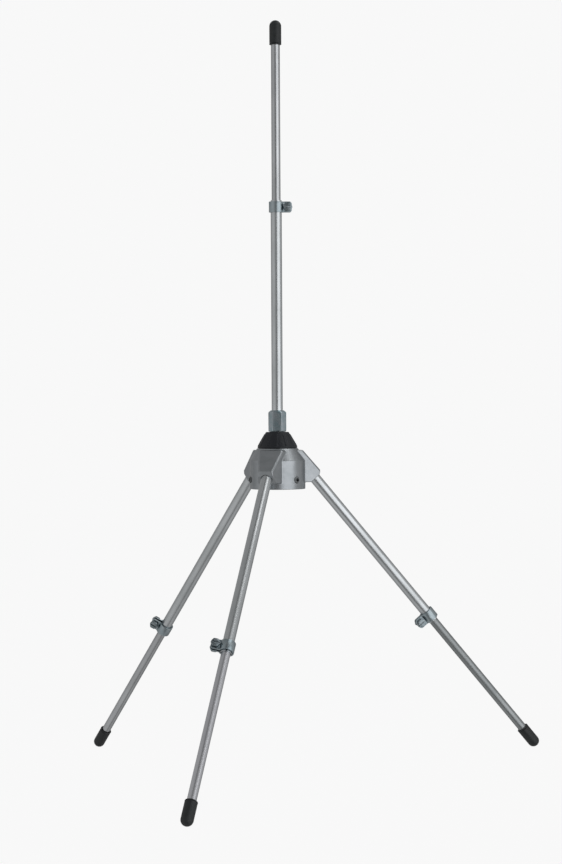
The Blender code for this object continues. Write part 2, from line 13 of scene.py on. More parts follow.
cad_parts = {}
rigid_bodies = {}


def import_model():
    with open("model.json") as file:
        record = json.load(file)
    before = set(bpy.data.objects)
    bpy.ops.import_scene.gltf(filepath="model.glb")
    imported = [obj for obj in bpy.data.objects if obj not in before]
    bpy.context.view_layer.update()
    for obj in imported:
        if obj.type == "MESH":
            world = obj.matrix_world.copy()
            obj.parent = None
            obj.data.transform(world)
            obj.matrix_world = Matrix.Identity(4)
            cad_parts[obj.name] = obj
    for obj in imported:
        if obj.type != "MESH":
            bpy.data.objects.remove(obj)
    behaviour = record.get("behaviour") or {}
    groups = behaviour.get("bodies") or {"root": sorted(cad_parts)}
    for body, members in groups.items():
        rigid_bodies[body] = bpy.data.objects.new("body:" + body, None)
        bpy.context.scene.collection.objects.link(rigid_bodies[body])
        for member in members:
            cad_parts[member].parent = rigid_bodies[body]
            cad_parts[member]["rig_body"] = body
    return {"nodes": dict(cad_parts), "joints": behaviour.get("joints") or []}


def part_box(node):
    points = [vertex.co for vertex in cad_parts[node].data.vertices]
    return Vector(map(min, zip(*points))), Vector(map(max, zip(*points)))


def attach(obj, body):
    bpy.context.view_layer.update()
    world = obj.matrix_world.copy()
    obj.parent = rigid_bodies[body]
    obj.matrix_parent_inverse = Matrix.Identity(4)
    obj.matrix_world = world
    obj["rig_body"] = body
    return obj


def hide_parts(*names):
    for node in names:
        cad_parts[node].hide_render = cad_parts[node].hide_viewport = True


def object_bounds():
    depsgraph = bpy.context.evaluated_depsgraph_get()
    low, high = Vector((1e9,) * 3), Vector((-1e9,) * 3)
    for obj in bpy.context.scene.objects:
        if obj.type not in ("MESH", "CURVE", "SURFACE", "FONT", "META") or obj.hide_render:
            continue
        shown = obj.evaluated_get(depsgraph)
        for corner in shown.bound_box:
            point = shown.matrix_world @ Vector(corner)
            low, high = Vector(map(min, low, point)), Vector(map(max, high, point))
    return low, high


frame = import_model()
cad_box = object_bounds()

MM = 0.001
GAP = 0.3 * MM  # between neighbouring pieces
FINE = 64  # sides of tubes, caps and the hub's bores
ELEMENTS = ("radiator", "front_radial", "left_radial", "right_radial")

# Hub casting
HUB_RADIUS = 25.0 * MM
HUB_SHOULDER_Z = 25.5 * MM
HUB_TOP_RADIUS = 18.4 * MM
HUB_EDGE = 0.5 * MM
SOCKET_RADIUS = 19.7 * MM
PLATE_LOW_Z = 29.0 * MM
PLATE_HIGH_Z = 33.0 * MM
BARREL_HOLE = 8.25 * MM
RECESS_RADIUS = 16.0 * MM
ROOT_HOLE = 3.2 * MM  # for a radial's root plug
SET_SCREW_HOLE = 3.2 * MM
FIN_TOP_SLOPE = radians(46.5)
FIN_TOP_OFFSET = 7.6 * MM
FIN_LEVEL_Z = 35.0 * MM
FIN_INNER_END = 11.0 * MM
FIN_NOSE_RADIUS = 38.4 * MM
FIN_NOSE_HEIGHT = 4.1 * MM
FIN_NOSE_UNDERCUT = 0.9 * MM
FIN_BOTTOM_Z = 5.9 * MM
FIN_HALF_WIDTH = 10.2 * MM
FIN_NOSE_HALF_WIDTH = 6.5 * MM
FIN_TOP_CHAMFER = 1.2 * MM
CAST_VOXEL = 0.42 * MM
CAST_SMOOTHING = 5

# Tubes and caps
TUBE_BORE = 4.15 * MM
INNER_BORE = 3.0 * MM
SLOT_WIDTH = 1.2 * MM
SLOT_LENGTH = 10.4 * MM
CAP_BORE = 4.3 * MM
CAP_TOP = 2.3 * MM

# The thin tubes differ in brightness: lit and shaded copies of one drawn finish, painted light on
# the front radial's thin tube and painted shade on the right radial's, which is also rougher
THIN_TUBE_PAINTED_LIGHT = {
    "radiator": "inner_tube",
    "front_radial": "painted_lit_tube",
    "left_radial": "inner_tube",
    "right_radial": "painted_shade_tube",
}

# Clamps
BAND_WALL = 1.3 * MM
EAR_GAP = 2.5 * MM
EAR_REACH = 14.1 * MM
EAR_CORNER = 2.4 * MM
BAND_FILLET = 0.9 * MM
BAND_EDGE = 0.22 * MM
M4_RADIUS = 2.0 * MM
M4_PITCH = 0.7 * MM
M4_HEX = 7.0 * MM
M4_HEAD = 2.8 * MM

# Insulator, ferrule and the screws in the hub
CONE_TOP_RADIUS = 10.6 * MM
CONE_LOW_RADIUS = 18.0 * MM
CONE_RIBS = 12
CONE_RIB_HEIGHT = 0.5 * MM
CONE_LIP = 0.8 * MM
STUD_HOLE = 4.3 * MM
WASHER_ROOM = 7.9 * MM
FERRULE_HEX = 14.0 * MM
FERRULE_TURN = radians(13)
M6_PITCH = 1.0 * MM
M6_KEY = 3.0 * MM
M6_KEY_DEPTH = 2.4 * MM
FLANGE_SCREWS = (1, 2, 3, 4)
FLANGE_SCREW_RADIUS = 1.25 * MM
FLANGE_SCREW_HEAD = 2.4 * MM

# Coaxial socket
BARREL_PITCH = 25.4 / 24 * MM
BARREL_RADIUS = 7.95 * MM
BARREL_BORE = 5.9 * MM
FLANGE_RADIUS = 14.5 * MM
FLANGE_DEPTH = 2.0 * MM
SOCKET_WEB = 3.0 * MM

# Camera: distances in metres, the lens in millimetres
VIEW_AZIMUTH = radians(16.7)
VIEW_DISTANCE = 2.0
VIEW_HEIGHT = 0.085
VIEW_TILT = radians(90 - 0.97)
VIEW_PAN = radians(0.094)
VIEW_ROLL = radians(-0.3)
VIEW_LENS = 92.5

# Floor and lights, in metres
FLOOR_RADIUS = 6.0
FLOOR_BEND = 2.0
FLOOR_WALL_TOP = 9.0
FLOOR_GLOW = 0.936
FLOOR_DROP = 20 * MM  # under the lowest tip, so that pulled-out radials stay above the floor
LIGHT_AIM = Vector((0, 0, 0.05))
LIGHT_DISTANCE = 2.2

# Greys of the room's walls, by degrees to the right of the camera
WALL_GREYS = {
    -180: 0.60,
    -160: 0.34,
    -124: 0.36,
    -80: 0.52,
    -50: 0.54,
    -26: 0.40,
    -12: 0.20,
    6: 0.20,
    18: 0.36,
    84: 0.45,
    110: 0.47,
    134: 0.27,
    145: 0.27,
    160: 0.30,
    180: 0.60,
}
CEILING_SHARE = 0.66  # of the walls' grey


# ---------------------------------------------------------------- the frame's measures

def joint(name):
    return next(row for row in frame["joints"] if row["name"] == name)


def corners(node, place=Matrix()):
    """A CAD node's corners, seen from a place."""
    into = place.inverted()
    return [into @ vertex.co for vertex in frame["nodes"][node].data.vertices]


def extent(node, place=Matrix()):
    """A CAD node's lowest and highest point along the place's Z, and its radius about it."""
    spots = corners(node, place)
    heights = [spot.z for spot in spots]
    return min(heights), max(heights), max(hypot(spot.x, spot.y) for spot in spots)


def placed(origin, along, towards):
    """A place with Z along one direction and X towards another."""
    z = along.normalized()
    x = (towards - towards.dot(z) * z).normalized()
    turn = Matrix((x, z.cross(x), z)).transposed().to_4x4()
    return Matrix.Translation(origin) @ turn


def element_place(element):
    """Z along an element's tubes, and X towards the ears of its clamp."""
    along = Vector(joint(f"{element}_telescope")["axis"])
    level = placed(Vector(), along, Vector((0.6, 0.8, 0.1)))
    spots = corners(f"{element}_inner_tube", level)
    middle = [(min(s[i] for s in spots) + max(s[i] for s in spots)) / 2 for i in (0, 1)]
    origin = level @ Vector((*middle, 0))
    bolt = Vector(joint(f"{element}_clamp_turn")["pos_m"])
    return placed(origin, along, bolt - origin)


def bolt_place(element):
    """Z along a clamp screw towards its head, and X along the ears, from the tube outwards."""
    turn = joint(f"{element}_clamp_turn")
    ears = element_place(element).to_3x3() @ Vector((1, 0, 0))
    return placed(Vector(turn["pos_m"]), Vector(turn["axis"]), ears)


def mast_screw_place(number):
    """Z out of the hub along a mast screw's axis."""
    outward = -Vector(joint(f"mast_screw_{number}_travel")["axis"])
    low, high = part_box(f"mast_screw_{number}")
    height = Vector((0, 0, (low.z + high.z) / 2))
    return placed(height, outward, Vector((0, 0, 1)))


def flange_screw_place(number):
    """Z up along a flange screw, from the height of the hub's rim."""
    low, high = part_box(f"flange_screw_{number}")
    return Matrix.Translation(((low.x + high.x) / 2, (low.y + high.y) / 2, 0))


# ---------------------------------------------------------------- mesh tools

def as_object(bm, name):
    bmesh.ops.recalc_face_normals(bm, faces=bm.faces)
    mesh = bpy.data.meshes.new(name)
    bm.to_mesh(mesh)
    bm.free()
    item = bpy.data.objects.new(name, mesh)
    bpy.context.scene.collection.objects.link(item)
    return item


def turned(name, profile, sides=FINE, ring=False):
    """A solid turned about Z from (radius, height) points, which close on themselves in a ring."""
    bm = bmesh.new()
    points = [bm.verts.new((radius, 0, height)) for radius, height in profile]
    ends = points[1:] + points[:1] if ring else points[1:]
    edges = [bm.edges.new(pair) for pair in zip(points, ends)]
    bmesh.ops.spin(
        bm,
        geom=points + edges,
        axis=(0, 0, 1),
        cent=(0, 0, 0),
        angle=2 * pi,
        steps=sides,
        use_merge=True,
    )
    bmesh.ops.remove_doubles(bm, verts=bm.verts, dist=1e-7)
    return as_object(bm, name)


def prism(name, outline, low, high):
    """A flat outline in the XY plane, extruded from one height to another."""
    bm = bmesh.new()
    face = bm.faces.new([bm.verts.new((x, y, low)) for x, y in outline])
    grown = bmesh.ops.extrude_face_region(bm, geom=[face])["geom"]
    rise = [part for part in grown if isinstance(part, bmesh.types.BMVert)]
    bmesh.ops.translate(bm, verts=rise, vec=(0, 0, high - low))
    return as_object(bm, name)


def cylinder(name, radius, low, high, sides=FINE):
    return turned(name, [(0, low), (radius, low), (radius, high), (0, high)], sides)


def hexagon(name, across_flats, low, high):
    corner = across_flats / sqrt(3)
    outline = [(corner * cos(i * pi / 3), corner * sin(i * pi / 3)) for i in range(6)]
    return prism(name, outline, low, high)


def box(name, length, width, low, high):
    x, y = length / 2, width / 2
    return prism(name, [(-x, -y), (x, -y), (x, y), (-x, y)], low, high)


def skin(name, heights, sides, radius_at):
    """A closed solid from rings about Z, with radius_at(turn, height) at each turn from 0 to 1."""
    bm = bmesh.new()
    rings = []
    for height in heights:
        ring = []
        for side in range(sides):
            turn = side / sides
            radius = radius_at(turn, height)
            angle = 2 * pi * turn
            ring.append(bm.verts.new((radius * cos(angle), radius * sin(angle), height)))
        rings.append(ring)
    for below, above in zip(rings, rings[1:]):
        for side in range(sides):
            after = (side + 1) % sides
            bm.faces.new((below[side], below[after], above[after], above[side]))
    bm.faces.new(rings[0])
    bm.faces.new(rings[-1])
    return as_object(bm, name)


def threaded(name, radius, pitch, low, high, sides=40):
    """A rod with a screw thread and chamfered ends."""
    depth = 0.55 * pitch
    rows = int(round((high - low) / pitch * 8))
    heights = [low + (high - low) * row / rows for row in range(rows + 1)]

    def surface(turn, height):
        phase = (height / pitch - turn) % 1
        groove = min(1, max(0, 1.35 - 3.2 * abs(phase - 0.5)))
        end = 1 - min(1, min(height - low, high - height) / (0.7 * pitch))
        return radius - depth * max(groove, end)

    return skin(name, heights, sides, surface)


def arc(centre, radius, start, end, steps):
    """Points of an arc, both ends included."""
    angles = [start + (end - start) * i / steps for i in range(steps + 1)]
    return [(centre[0] + radius * cos(a), centre[1] + radius * sin(a)) for a in angles]


def applied(body):
    """Bakes a body's modifiers into its mesh."""
    bpy.context.view_layer.update()
    evaluated = body.evaluated_get(bpy.context.evaluated_depsgraph_get())
    mesh = bpy.data.meshes.new_from_object(evaluated)
    body.modifiers.clear()
    body.data = mesh
    return body


def combine(body, tool, operation, solver="EXACT"):
    """Cuts the tool from the body, joins it on or keeps what they share, and removes the tool."""
    modifier = body.modifiers.new("combine", "BOOLEAN")
    modifier.operation = operation
    modifier.solver = solver
    modifier.object = tool
    applied(body)
    bpy.data.objects.remove(tool)
    return body


def rounded(body, width, segments=2, angle=radians(28)):
    """Rounds a body's hard edges."""
    modifier = body.modifiers.new("rounded", "BEVEL")
    modifier.width = width
    modifier.segments = segments
    modifier.limit_method = "ANGLE"
    modifier.angle_limit = angle
    modifier.harden_normals = False
    return applied(body)


def bevel_chosen(body, chosen, width, segments):
    """Bevels the edges whose two ends chosen(one, other) picks."""
    bm = bmesh.new()
    bm.from_mesh(body.data)
    edges = [edge for edge in bm.edges if chosen(*(vertex.co for vertex in edge.verts))]
    bmesh.ops.bevel(
        bm, geom=edges, offset=width, segments=segments, profile=0.5, affect="EDGES"
    )
    bm.to_mesh(body.data)
    bm.free()


def show(piece, node, material, place=Matrix(), sharp=radians(40)):
    """Sets a finished piece down in its place, on its node's body and with its finish."""
    piece.data.materials.clear()
    piece.data.materials.append(material)
    for polygon in piece.data.polygons:
        polygon.material_index = 0
    piece.data.shade_smooth()
    piece.data.set_sharp_from_angle(angle=sharp)
    piece.matrix_world = place
    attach(piece, frame["nodes"][node]["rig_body"])
    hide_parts(node)
    return piece


# ---------------------------------------------------------------- finishes

class Finish:
    """A Principled material whose nodes are added one by one."""

    def __init__(self, name, colour, metallic, roughness):
        self.material = bpy.data.materials.new(name)
        self.material.use_nodes = True
        self.tree = self.material.node_tree
        self.shader = self.tree.nodes["Principled BSDF"]
        self.shader.inputs["Base Color"].default_value = (*colour, 1)
        self.shader.inputs["Metallic"].default_value = metallic
        self.shader.inputs["Roughness"].default_value = roughness
        self.where = self.node("ShaderNodeTexCoord").outputs["Object"]
        self.normal = None

    def node(self, kind, **settings):
        made = self.tree.nodes.new(kind)
        for key, value in settings.items():
            setattr(made, key, value)
        return made

    def link(self, source, target):
        self.tree.links.new(source, target)

    def stretched(self, stretch):
        """The object's own coordinates, scaled along each axis."""
        mapping = self.node("ShaderNodeMapping")
        mapping.inputs["Scale"].default_value = stretch
        self.link(self.where, mapping.inputs["Vector"])
        return mapping.outputs["Vector"]

    def noise(self, stretch, detail=3.0, rough=0.5):
        """Noise of one cycle per metre, scaled along each axis."""
        made = self.node("ShaderNodeTexNoise")
        made.inputs["Scale"].default_value = 1.0
        made.inputs["Detail"].default_value = detail
        made.inputs["Roughness"].default_value = rough
        self.link(self.stretched(stretch), made.inputs["Vector"])
        return made.outputs["Fac"]

    def cells(self, stretch):
        made = self.node("ShaderNodeTexVoronoi")
        made.inputs["Scale"].default_value = 1.0
        self.link(self.stretched(stretch), made.inputs["Vector"])
        return made.outputs["Distance"]

    def spread(self, source, low, high, to_low, to_high):
        """Maps a range of values onto another."""
        made = self.node("ShaderNodeMapRange")
        for name, value in (
            ("From Min", low),
            ("From Max", high),
            ("To Min", to_low),
            ("To Max", to_high),
        ):
            made.inputs[name].default_value = value
        self.link(source, made.inputs["Value"])
        return made.outputs["Result"]

    def mixed(self, factor, first, second):
        """A colour between two, each of them a colour or the output of a node."""
        made = self.node("ShaderNodeMix", data_type="RGBA")
        self.link(factor, made.inputs["Factor"])
        for place, colour in (("A", first), ("B", second)):
            socket = next(
                s for s in made.inputs if s.name == place and s.type == "RGBA"
            )
            if isinstance(colour, tuple):
                socket.default_value = (*colour, 1)
            else:
                self.link(colour, socket)
        return next(s for s in made.outputs if s.type == "RGBA")

    def bump(self, source, height, strength=1.0):
        """Relief of a real height, on top of what is there."""
        made = self.node("ShaderNodeBump")
        made.inputs["Strength"].default_value = strength
        made.inputs["Distance"].default_value = height
        self.link(source, made.inputs["Height"])
        if self.normal is not None:
            self.link(self.normal, made.inputs["Normal"])
        self.normal = made.outputs["Normal"]
        self.link(self.normal, self.shader.inputs["Normal"])

    def colour(self, source):
        self.link(source, self.shader.inputs["Base Color"])

    def roughness(self, source):
        self.link(source, self.shader.inputs["Roughness"])

    def edges(self, low, high):
        """1 on sharp convex edges and 0 elsewhere: rubbed wear, and on the cast alloy also a
        painted edge highlight.
        """
        geometry = self.node("ShaderNodeNewGeometry")
        return self.spread(geometry.outputs["Pointiness"], low, high, 0, 1)


def drawn_aluminium(name, light, dull, roughness):
    """Drawn tube: fine lines along its length, a few longer scores and dull patches."""
    finish = Finish(name, light, 1.0, roughness)
    lines = finish.noise((1500, 1500, 4), detail=4, rough=0.6)
    scores = finish.noise((620, 620, 3), detail=2)
    patches = finish.noise((60, 60, 22), detail=4, rough=0.6)
    base = finish.mixed(finish.spread(patches, 0.38, 0.68, 0, 1), light, dull)
    streaked = finish.mixed(finish.spread(scores, 0.62, 0.72, 0, 0.55), base, dull)
    finish.colour(streaked)
    finish.roughness(finish.spread(patches, 0.3, 0.7, roughness - 0.04, roughness + 0.08))
    finish.bump(lines, 0.004 * MM, 0.3)
    finish.bump(scores, 0.01 * MM, 0.15)
    return finish.material


def cast_alloy():
    """Die-cast alloy: satin skin with a fine grain, faint flow marks, and lighter convex edges
    that are partly edge wear and partly a painted edge highlight.
    """
    # bright: colour of the convex edges, for edge wear and a painted edge highlight
    body, dark, bright = (0.42, 0.44, 0.46), (0.36, 0.385, 0.40), (0.48, 0.505, 0.52)
    finish = Finish("cast_alloy_skin", body, 1.0, 0.32)
    flow = finish.noise((90, 90, 160), detail=5, rough=0.6)
    grain = finish.noise((2600, 2600, 2600), detail=3, rough=0.6)
    pits = finish.cells((1100, 1100, 1100))
    skin_colour = finish.mixed(finish.spread(flow, 0.35, 0.7, 0, 1), body, dark)
    # Lighter convex edges: partly edge wear, partly a painted highlight line along the fins' edges
    edge_wear_and_highlight = finish.mixed(finish.edges(0.53, 0.62), skin_colour, bright)
    finish.colour(edge_wear_and_highlight)
    finish.roughness(finish.spread(flow, 0.3, 0.7, 0.28, 0.36))
    finish.bump(grain, 0.025 * MM, 0.4)
    finish.bump(finish.spread(pits, 0.0, 0.35, 0, 1), 0.02 * MM, 0.3)
    return finish.material


def zinc_plate(name, light, blue, roughness):
    """Zinc-plated steel: a bluish film that changes over the surface, and bright rubbed edges."""
    finish = Finish(name, light, 1.0, roughness)
    film = finish.noise((180, 180, 180), detail=4, rough=0.55)
    grain = finish.noise((2400, 2400, 2400), detail=3, rough=0.65)
    plated = finish.mixed(finish.spread(film, 0.35, 0.65, 0, 1), light, blue)
    rubbed = tuple(min(1, 1.35 * part + 0.05) for part in light)
    finish.colour(finish.mixed(finish.edges(0.53, 0.6), plated, rubbed))
    finish.roughness(finish.spread(grain, 0.3, 0.7, roughness - 0.06, roughness + 0.1))
    finish.bump(grain, 0.012 * MM, 0.5)
    return finish.material


def moulded_black():
    """Moulded plastic: a fine eroded texture, semi-matt, with dull dusty patches."""
    finish = Finish("moulded_black", (0.014, 0.015, 0.019), 0.0, 0.42)
    finish.shader.inputs["Specular IOR Level"].default_value = 0.35
    texture = finish.noise((2200, 2200, 2200), detail=3, rough=0.6)
    dust = finish.noise((110, 110, 60), detail=5, rough=0.65)
    finish.colour(finish.mixed(
        finish.spread(dust, 0.45, 0.8, 0, 1), (0.017, 0.019, 0.024), (0.03, 0.033, 0.038)
    ))
    finish.roughness(finish.spread(dust, 0.3, 0.7, 0.36, 0.54))
    finish.bump(texture, 0.03 * MM, 0.6)
    return finish.material


def vinyl(name, colour):
    """Dipped vinyl or rubber: soft waves in a smooth skin, with a little bloom."""
    finish = Finish(name, colour, 0.0, 0.48)
    finish.shader.inputs["Sheen Weight"].default_value = 0.08
    waves = finish.noise((420, 420, 260), detail=2)
    bloom = finish.noise((150, 150, 150), detail=5, rough=0.65)
    grain = finish.noise((3000, 3000, 3000), detail=2)
    lighter = tuple(1.9 * part + 0.004 for part in colour)
    finish.colour(finish.mixed(finish.spread(bloom, 0.42, 0.75, 0, 1), colour, lighter))
    finish.roughness(finish.spread(bloom, 0.3, 0.7, 0.42, 0.6))
    finish.bump(waves, 0.12 * MM, 0.35)
    finish.bump(grain, 0.015 * MM, 0.4)
    return finish.material


def nickel_plate():
    """Nickel on brass: turned rings, and brass showing through where the plating has rubbed off.
    """
    light, warm = (0.66, 0.63, 0.57), (0.60, 0.50, 0.33)
    finish = Finish("nickel_plate", light, 1.0, 0.24)
    rings = finish.noise((40, 40, 5200), detail=2)
    wear = finish.noise((260, 260, 260), detail=4, rough=0.6)
    plated = finish.mixed(finish.spread(wear, 0.58, 0.72, 0, 1), light, warm)
    finish.colour(plated)
    finish.roughness(finish.spread(wear, 0.3, 0.7, 0.2, 0.34))
    finish.bump(rings, 0.008 * MM, 0.5)
    return finish.material


def white_dielectric():
    """Turned white fluoropolymer: waxy, with fine tool marks."""
    finish = Finish("turned_dielectric", (0.82, 0.82, 0.79), 0.0, 0.38)
    rings = finish.noise((60, 60, 4200), detail=2)
    tint = finish.noise((140, 140, 140), detail=3)
    finish.colour(finish.mixed(
        finish.spread(tint, 0.35, 0.7, 0, 1), (0.84, 0.84, 0.81), (0.74, 0.73, 0.69)
    ))
    finish.roughness(finish.spread(tint, 0.3, 0.7, 0.32, 0.46))
    finish.bump(rings, 0.01 * MM, 0.4)
    return finish.material


def make_finishes():
    return {
        "outer_tube": drawn_aluminium(
            "drawn_outer_tube", (0.66, 0.685, 0.70), (0.54, 0.565, 0.575), 0.26
        ),
        "inner_tube": drawn_aluminium(
            "drawn_inner_tube", (0.585, 0.60, 0.615), (0.47, 0.485, 0.495), 0.25
        ),
        # Painted light: a lighter copy of the thin tubes' drawn finish
        "painted_lit_tube": drawn_aluminium(
            "drawn_tube_painted_lit", (0.72, 0.73, 0.76), (0.62, 0.63, 0.66), 0.27
        ),
        # Painted shade: a darker, rougher copy of the thin tubes' drawn finish
        "painted_shade_tube": drawn_aluminium(
            "drawn_tube_painted_shade", (0.38, 0.40, 0.405), (0.32, 0.34, 0.345), 0.44
        ),
        "cast_alloy": cast_alloy(),
        "zinc_band": zinc_plate("zinc_band", (0.40, 0.45, 0.47), (0.30, 0.37, 0.40), 0.3),
        "zinc_screw": zinc_plate("zinc_screw", (0.30, 0.34, 0.36), (0.2, 0.25, 0.27), 0.34),
        "zinc_ferrule": zinc_plate("zinc_ferrule", (0.52, 0.58, 0.62), (0.36, 0.48, 0.52), 0.22),
        "oxide_screw": zinc_plate("oxide_screw", (0.26, 0.27, 0.275), (0.17, 0.18, 0.185), 0.36),
        "black_plastic": moulded_black(),
        "black_cap": vinyl("black_cap", (0.010, 0.0125, 0.0135)),
        "black_seal": vinyl("black_seal", (0.01, 0.01, 0.01)),
        "nickel_brass": nickel_plate(),
        "white_dielectric": white_dielectric(),
    }


# ---------------------------------------------------------------- hub

def fin(along, apex_z):
    """A wedge that holds a radial, from the radial's own direction."""
    outward = Vector((along.x, along.y, 0)).normalized()
    slope = -along.z / along.dot(outward)
    nose_z = apex_z + FIN_TOP_OFFSET * sqrt(1 + slope * slope) - slope * FIN_NOSE_RADIUS
    level_end = FIN_NOSE_RADIUS - (FIN_LEVEL_Z - nose_z) / tan(FIN_TOP_SLOPE)
    brow = FIN_NOSE_RADIUS - FIN_NOSE_UNDERCUT
    brow_z = nose_z - FIN_NOSE_HEIGHT
    outline = [
        (FIN_INNER_END, FIN_BOTTOM_Z),
        (brow - (brow_z - FIN_BOTTOM_Z) * slope, FIN_BOTTOM_Z),
        (brow, brow_z),
        (FIN_NOSE_RADIUS, nose_z),
        (level_end, FIN_LEVEL_Z),
        (FIN_INNER_END, FIN_LEVEL_Z),
    ]
    body = prism("fin", outline, -1, 1)
    taper = (FIN_NOSE_HALF_WIDTH - FIN_HALF_WIDTH) / (FIN_NOSE_RADIUS - HUB_RADIUS)
    for vertex in body.data.vertices:
        reach, height, side = vertex.co
        half = FIN_HALF_WIDTH + taper * (reach - HUB_RADIUS)
        vertex.co = (reach, -side * half, height)
    chamfer_top(body, nose_z)
    body.matrix_world = placed(Vector(), Vector((0, 0, 1)), outward)
    return body


def chamfer_top(body, nose_z):
    """Chamfers the two long edges of a fin's top."""
    def long_edge(one, other):
        return min(one.z, other.z) > nose_z - 0.1 * MM and one.y * other.y > 0

    bevel_chosen(body, long_edge, FIN_TOP_CHAMFER, 1)


def apex_of(place):
    """Where an element's axis crosses the mast axis."""
    origin = place.translation
    along = place.to_3x3() @ Vector((0, 0, 1))
    level = Vector((along.x, along.y))
    return origin.z - along.z * Vector((origin.x, origin.y)).dot(level) / level.length_squared


def hub(finishes):
    """The casting: remeshed and smoothed like a die casting, then machined where it has bores."""
    top_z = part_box("hub_casting")[1].z
    body = turned("cast_hub", [
        (0, 0),
        (HUB_RADIUS, 0),
        (HUB_RADIUS, HUB_SHOULDER_Z),
        (HUB_TOP_RADIUS, top_z),
        (0, top_z),
    ], 120)
    places = [element_place(element) for element in ELEMENTS[1:]]
    for place in places:
        combine(body, fin(place.to_3x3() @ Vector((0, 0, 1)), apex_of(place)), "UNION")
    remesh = body.modifiers.new("remesh", "REMESH")
    remesh.mode = "VOXEL"
    remesh.voxel_size = CAST_VOXEL
    smooth = body.modifiers.new("smooth", "SMOOTH")
    smooth.factor = 0.5
    smooth.iterations = CAST_SMOOTHING
    thin = body.modifiers.new("thin", "DECIMATE")
    thin.ratio = 0.3
    applied(body)

    past = 5 * MM
    combine(body, turned("hollow", [
        (0, -past),
        (SOCKET_RADIUS + HUB_EDGE + past, -past),
        (SOCKET_RADIUS, HUB_EDGE),
        (SOCKET_RADIUS, PLATE_LOW_Z),
        (BARREL_HOLE, PLATE_LOW_Z),
        (BARREL_HOLE, PLATE_HIGH_Z),
        (RECESS_RADIUS, PLATE_HIGH_Z),
        (RECESS_RADIUS, top_z + past),
        (0, top_z + past),
    ], 96), "DIFFERENCE", "MANIFOLD")
    for element, place in zip(ELEMENTS[1:], places):
        root, _, tube_radius = extent(f"{element}_outer_tube", place)
        stud, _, _ = extent(f"{element}_root_plug", place)
        hole = tube_radius + GAP
        bore = turned("bore", [
            (0, stud - GAP),
            (ROOT_HOLE, stud - GAP),
            (ROOT_HOLE, root - GAP),
            (hole, root - GAP),
            (hole, root + 30 * MM),
            (0, root + 30 * MM),
        ])
        bore.matrix_world = place
        combine(body, bore, "DIFFERENCE", "MANIFOLD")
    for number in (1, 2, 3):
        hole = cylinder("hole", SET_SCREW_HOLE, 15 * MM, 32 * MM, 40)
        hole.matrix_world = mast_screw_place(number)
        combine(body, hole, "DIFFERENCE", "MANIFOLD")
    for number in FLANGE_SCREWS:
        hole = cylinder("hole", FLANGE_SCREW_RADIUS + GAP, 20 * MM, 40 * MM, 24)
        hole.matrix_world = flange_screw_place(number)
        combine(body, hole, "DIFFERENCE", "MANIFOLD")
    show(body, "hub_casting", finishes["cast_alloy"], sharp=radians(35))


def mast_screws(finishes):
    """Set screws with a hexagon socket and a flat point."""
    for number in (1, 2, 3):
        place = mast_screw_place(number)
        node = f"mast_screw_{number}"
        low, high, radius = extent(node, place)
        screw = threaded(f"set_screw_{number}", radius, M6_PITCH, low, high)
        key = hexagon("key", M6_KEY, high - M6_KEY_DEPTH, high + 1 * MM)
        combine(screw, key, "DIFFERENCE")
        show(screw, node, finishes["oxide_screw"], place)


def insulator(finishes):
    """The ribbed cone, with a rounded lip below, a flat seat above and two faint mould lines."""
    low, high, _ = extent("insulator_cone")
    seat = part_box("hub_casting")[1].z + GAP
    rib_low, rib_high = seat + 1.4 * MM, high - 1.4 * MM
    climb = high - seat - 2 * CONE_LIP
    lean = (CONE_LOW_RADIUS - CONE_TOP_RADIUS) / climb
    spigot = RECESS_RADIUS - GAP

    def flank(height):
        if height < seat:
            return spigot
        if height < seat + CONE_LIP:
            return CONE_LOW_RADIUS - 0.25 * MM * (1 - (height - seat) / CONE_LIP) ** 2
        radius = CONE_LOW_RADIUS - lean * (height - seat - CONE_LIP)
        over = max(0, height - (high - CONE_LIP)) / CONE_LIP
        return max(radius, CONE_TOP_RADIUS) - CONE_LIP * (1 - sqrt(max(0, 1 - over * over)))

    def surface(turn, height):
        radius = flank(height)
        rise = min(height - rib_low, rib_high - height) / (0.7 * MM)
        if rise <= 0:
            return radius
        centre = (turn * CONE_RIBS) % 1 - 0.5
        across = abs(centre) * 2 * pi * radius / CONE_RIBS
        side = min(1, max(0, (1.0 * MM - across) / (0.45 * MM)))
        side = side * side * (3 - 2 * side)
        line = abs((turn * 2 + 0.25 / CONE_RIBS) % 1 - 0.5) * pi * radius
        seam = 0.1 * MM if line < 0.16 * MM else 0
        return radius + max(CONE_RIB_HEIGHT * side * min(1, rise), seam)

    heights = [low, seat - 1e-5, seat + 1e-5]
    heights += [seat + CONE_LIP * part / 3 for part in (1, 2, 3)]
    steps = 26
    heights += [seat + CONE_LIP + climb * i / steps for i in range(1, steps + 1)]
    heights += [high - CONE_LIP + CONE_LIP * sin(pi / 2 * i / 5) for i in range(1, 6)]
    body = skin("ribbed_insulator", heights, CONE_RIBS * 36, surface)
    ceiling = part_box("stud_washer")[1].z + GAP
    combine(body, turned("hollow", [
        (0, low - 1 * MM),
        (WASHER_ROOM, low - 1 * MM),
        (WASHER_ROOM, ceiling),
        (STUD_HOLE, ceiling),
        (STUD_HOLE, high + 1 * MM),
        (0, high + 1 * MM),
    ]), "DIFFERENCE")
    show(body, "insulator_cone", finishes["black_plastic"], sharp=radians(50))


